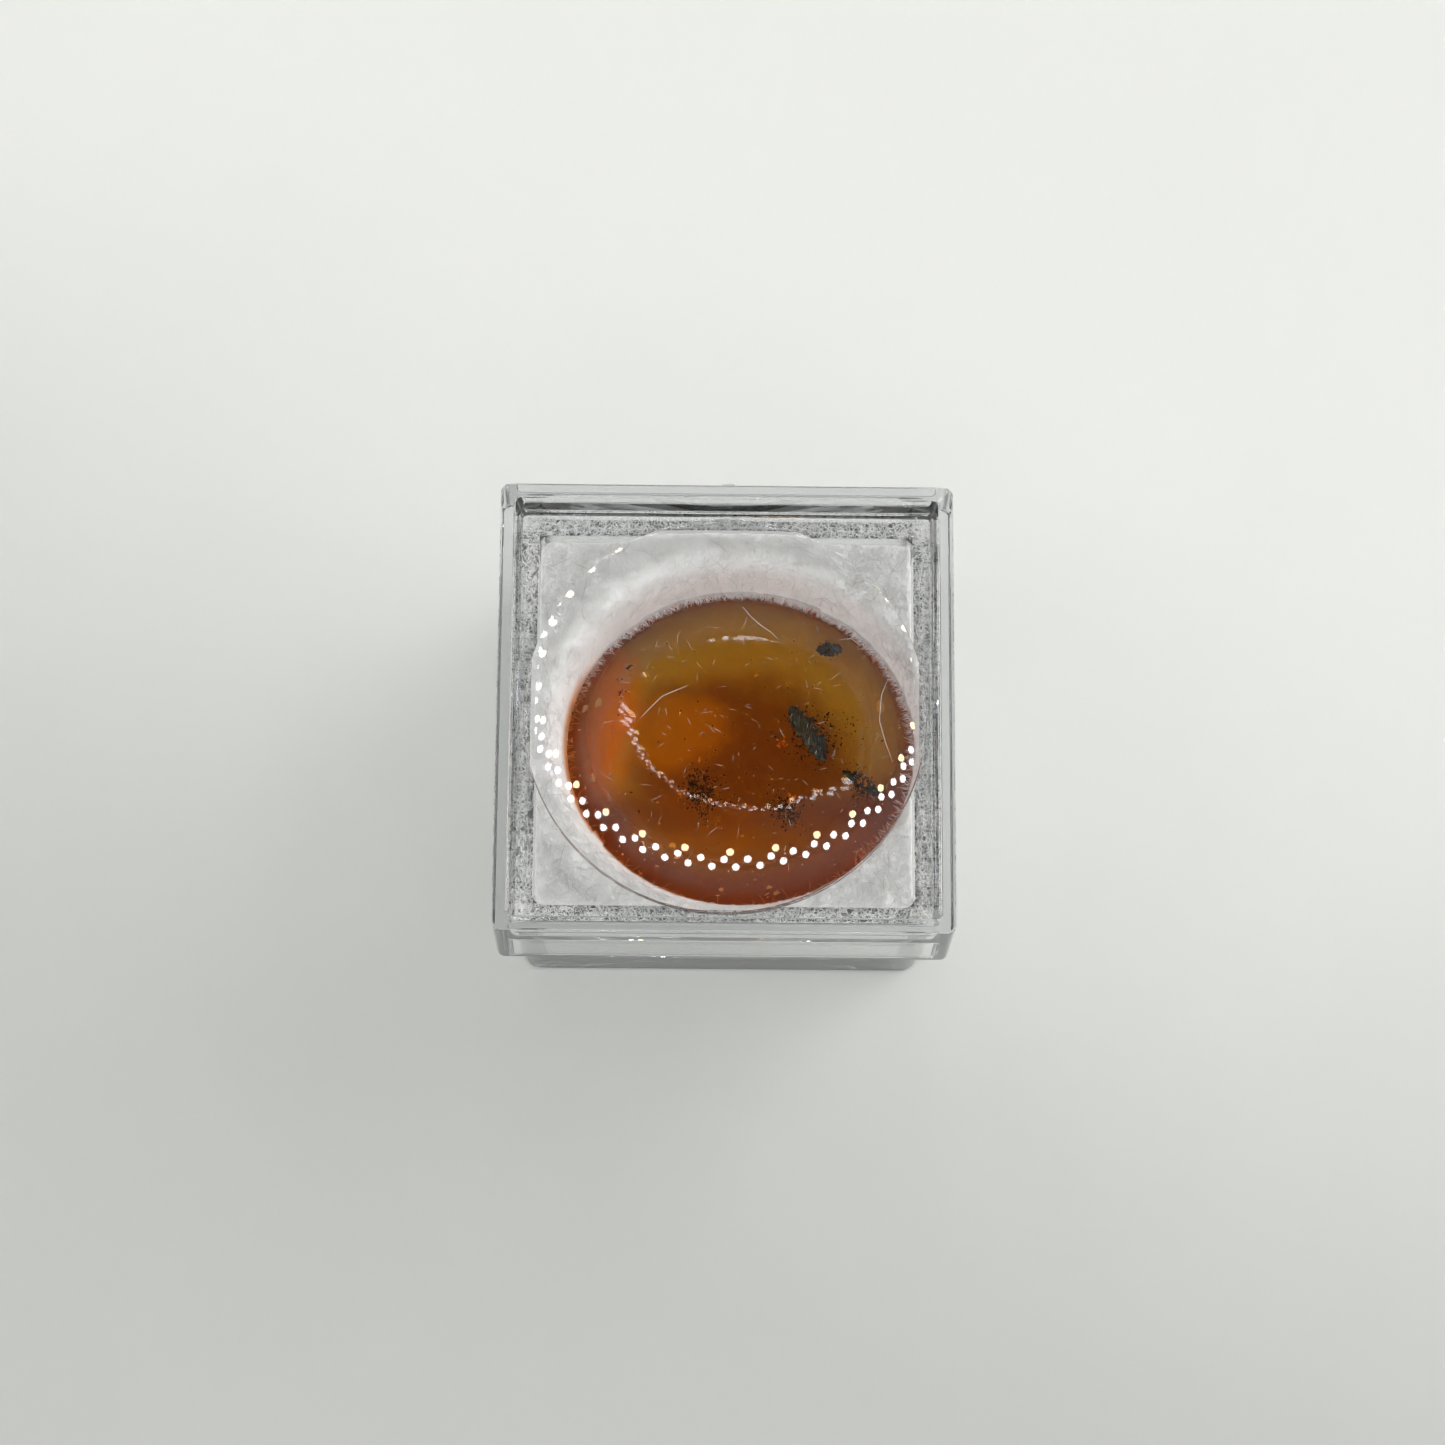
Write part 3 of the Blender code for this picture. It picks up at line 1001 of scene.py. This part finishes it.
def dome_height(across, along):
    """How high the stone's top is above its widest line, with both in millimetres from its middle."""
    out = 0.5
    for _ in range(SEARCH_ROUNDS):
        x = (across * MM - APEX.x * (1 - out)) / STONE_RADIUS_X
        y = (along * MM - APEX.y * (1 - out)) / STONE_RADIUS_Y
        out = min(math.hypot(x, y), 0.999)
    return STONE_DOME * (1 - out * out) ** DOME_BEND / MM


def stone_hair(points):
    """A line that lies on the stone's top, through places in millimetres from its middle."""
    line = []
    for (x0, y0), (x1, y1) in zip(points, points[1:]):
        for share in (0.0, 0.25, 0.5, 0.75):
            x, y = x0 + (x1 - x0) * share, y0 + (y1 - y0) * share
            line.append(sealed(x, y, dome_height(x, y) + HAIR_LIFT))
    return line


def place_on_stone(reach):
    """A random place above the stone, as far out as this share of its radius, in millimetres."""
    away, turn = reach * math.sqrt(dice.random()), dice.uniform(0, math.tau)
    x = away * math.cos(turn) * STONE_RADIUS_X / MM
    y = away * math.sin(turn) * STONE_RADIUS_Y / MM
    return x, y


specks = []
for _ in range(SPECKS):
    x, y = place_on_stone(0.92)
    specks.append((sealed(x, y, dome_height(x, y) + SPECK_LIFT), dice.uniform(0.03, 0.09) * MM))
motes = []
for _ in range(MOTES):
    x, y = place_on_stone(0.9)
    heading = dice.uniform(0, math.tau)
    length = dice.uniform(0.2, 0.9)
    end_x = 0.95 * (x + length * math.cos(heading))
    end_y = 0.95 * (y + length * math.sin(heading))
    motes.append(stone_hair([(x, y), (end_x, end_y)]))
hairs = [stone_hair(points) for points in HAIRS]
strand_mesh("pale_hairs", hairs, HAIR_WIDTH, FLOCK)
strand_mesh("pale_motes", motes, MOTE_WIDTH, FLOCK)
grain_mesh("pale_specks", specks, FLOCK)

# %% [markdown]
# The box stands on a pale floor, painted lighter towards the back right, where the light comes from. It
# isn't part of the model. The gap below the foot keeps the two surfaces from showing through each other.

# %% The floor
FLOOR_HALF = 0.8
FLOOR_GAP = 0.05 * MM


def floor_with_painted_light():
    """A matt grey with painted light: lighter towards the back right, where the light comes from."""
    material, wires = new_finish("pale_floor", {"Roughness": 0.8})
    place = where(wires)
    x, y = split(wires, place)[:2]
    # Painted light: the grey grows lighter towards the back right.
    share = (0.36 * x + 0.93 * y).step(-45.0, 45.0) + 0.2 * (cloud(wires, place, 30.0) - 0.5)
    feed(material, Base_Color=share.mix((0.48, 0.49, 0.475, 1.0), (0.73, 0.74, 0.72, 1.0)))
    return material


shape = bmesh.new()
bmesh.ops.create_grid(shape, x_segments=1, y_segments=1, size=FLOOR_HALF)
mesh = bpy.data.meshes.new("floor")
shape.to_mesh(mesh)
shape.free()
mesh.materials.append(floor_with_painted_light())
floor = bpy.data.objects.new("floor", mesh)
floor.location.z = solid_low.z - FLOOR_GAP
bpy.context.scene.collection.objects.link(floor)
print("floor", 2 * FLOOR_HALF, "m across")

# %% [markdown]
# Clear plastic and polished resin only show what is around them, so the sky does the drawing. What they
# mirror or bend is dark inside a ring of small lamps and high at the front, which keeps the amber's colour
# deep, and paler low down and at the back right. The lamps are dots in three rows, one warm and two cool.
# Matt pieces get an even daylight in its place, with a stronger patch from the right.
#
# The ring is drawn on the sky as if it were a flat ceiling one unit up: a direction's right and back divided
# by its height are a place on it.

# %% The sky
RING_RIGHT = 0.03
RING_BACK = 0.51
RING_RADIUS = 0.81
LAMPS = 62
LAMP_SIZE = 0.0105
LAMP_GLOW = 45.0
WARM = (1.0, 0.62, 0.22, 1.0)
COOL = (0.80, 0.88, 1.0, 1.0)
KEY_TOWARDS = Vector((0.70, 0.40, 0.55)).normalized()
KEY_GLOW = 3.5
SHADE_ABOVE = 0.02
FRONT_HIGH = 0.05
FRONT_LOW = 0.40
BACK_GLOW = 0.55
DAYLIGHT = 1.10


def lamp_row(wires, turn, out, spread, shift, radius, share):
    """A mask with a dot for each lamp of a row. Spread is how far the ceiling stretches a dot there, shift
    moves the dots along the row, and a share of 0.5 keeps every other lamp."""
    along = wires.math("FRACT", turn * share + shift + LAMPS) - 0.5
    across = along * (math.tau / LAMPS / share) * out
    away = out - radius
    gap = (across * across + away * away) ** 0.5 / spread
    return 1 - gap.step(0.6 * LAMP_SIZE, 1.4 * LAMP_SIZE)


def sky():
    """Makes the world: one sky for what is mirrored or bent, another for matt pieces."""
    world = bpy.data.worlds.new("soft_sky")
    world.use_nodes = True
    tree = world.node_tree
    wires = Wire(tree)
    direction = wires.add("ShaderNodeTexCoord")
    x, y, z = split(wires, direction)
    height = z.math("MAXIMUM", z, 0.05)
    right = x / height - RING_RIGHT
    back = y / height - RING_BACK
    out = (right * right + back * back) ** 0.5
    above = z.step(0.02, 0.10)
    inside = above * (1 - out.step(RING_RADIUS - 0.04, RING_RADIUS + 0.08))
    low = 1 - z.step(0.30, 0.50)
    key = z.add("ShaderNodeVectorMath", {"operation": "DOT_PRODUCT"},
                {0: direction, 1: KEY_TOWARDS}, output=1).step(0.92, 0.97)
    turn = z.math("ARCTAN2", right, back) * (LAMPS / math.tau)
    spread = 1 / height
    warm = above * lamp_row(wires, turn, out, spread, 0.0, RING_RADIUS - 0.030, 0.5)
    cool = above * (lamp_row(wires, turn, out, spread, 0.25, RING_RADIUS - 0.003, 1.0)
                    + lamp_row(wires, turn, out, spread, 0.75, RING_RADIUS + 0.024, 1.0))
    path = wires.add("ShaderNodeLightPath").socket.node.outputs
    lit = Wire(tree, path["Diffuse Depth"]).step(0.4, 0.6)
    bent = (Wire(tree, path["Is Glossy Ray"]) + Wire(tree, path["Is Transmission Ray"])) * (1 - lit)
    front = FRONT_HIGH + (FRONT_LOW - FRONT_HIGH) * low
    around = front + (0.6 * x + 0.8 * y).step(-0.4, 0.35) * (BACK_GLOW - front)
    seen = around + inside * (SHADE_ABOVE - around) + bent * LAMP_GLOW * (warm + cool)
    plain = DAYLIGHT + KEY_GLOW * key
    brightness = seen + lit * (plain - seen)
    tint = warm.mix(cool.mix((1.0, 1.0, 0.985, 1.0), COOL), WARM)
    background = tree.nodes["Background"]
    tree.links.new(brightness.socket, background.inputs["Strength"])
    tree.links.new(tint.socket, background.inputs["Color"])
    bpy.context.scene.world = world


sky()
print("sky with", 2 * LAMPS + LAMPS // 2, "reflected lamps")

# %% [markdown]
# Light crosses a dozen clear surfaces on its way to the pad and back, so the scene asks for more bounces
# than usual: with too few, the parts seen through the lens turn grey or black. The plain view transform
# keeps the amber's strong colours.

# %% Light paths and colour
scene = bpy.context.scene
scene.cycles.max_bounces = 32
scene.cycles.transmission_bounces = 32
scene.cycles.glossy_bounces = 16
scene.cycles.diffuse_bounces = 12
scene.cycles.blur_glossy = 0.0
scene.view_settings.view_transform = "Standard"
print("up to", scene.cycles.max_bounces, "bounces")
